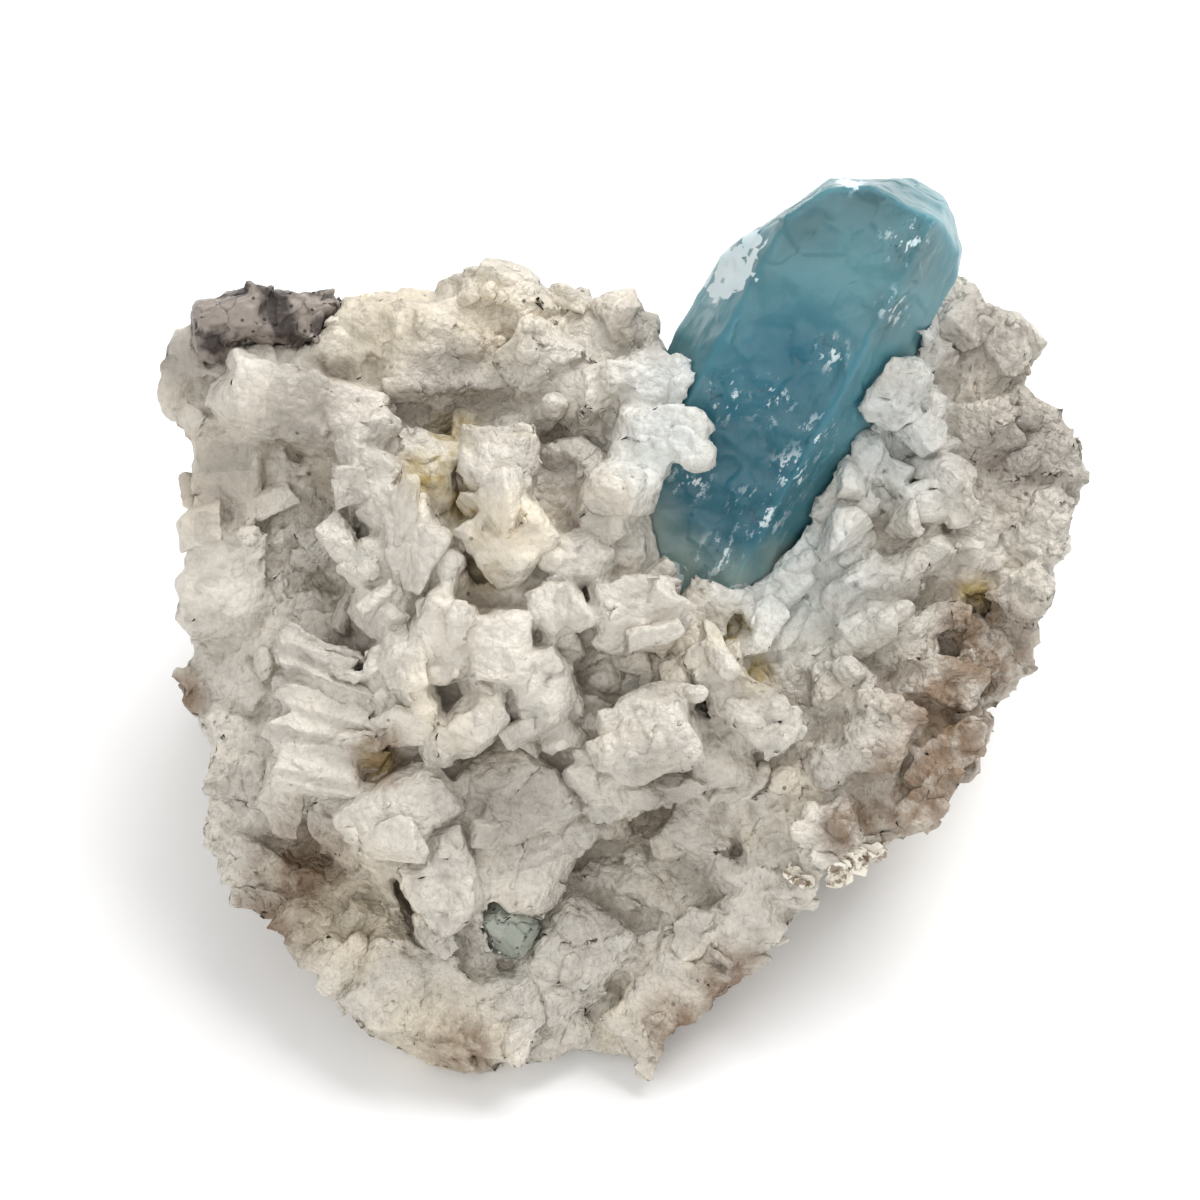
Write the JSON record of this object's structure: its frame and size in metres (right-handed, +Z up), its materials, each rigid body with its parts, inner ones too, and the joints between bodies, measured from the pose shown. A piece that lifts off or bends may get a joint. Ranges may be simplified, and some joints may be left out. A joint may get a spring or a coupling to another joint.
{
  "type": "aquamarine crystal on matrix",
  "caption": "Stout blue hexagonal beryl prism leaning out of a loose cream-white feldspar specimen with grains of smoky quartz and books of mica.",
  "frame": {"origin": "under the middle of the specimen's bounding box, on the flat break that it rests on", "axes": "+Z up, the crystal's face looks towards -Y and up, +X to the right of someone who looks at that face"},
  "size_m": [0.0798, 0.0708, 0.0607],
  "materials": {
    "aquamarine": "clear to frosted, vitreous",
    "albite": "sugary, softly shining on cleavages",
    "smoky_quartz": "greyish, vitreous",
    "mica": "pearly plates"
  },
  "bodies": {
    "root": {"aquamarine_crystal": "aquamarine", "albite_matrix": "albite", "smoky_quartz_crown": "smoky_quartz", "smoky_quartz_foot": "smoky_quartz", "mica_book_large": "mica", "mica_book_small": "mica"}
  },
  "joints": []
}
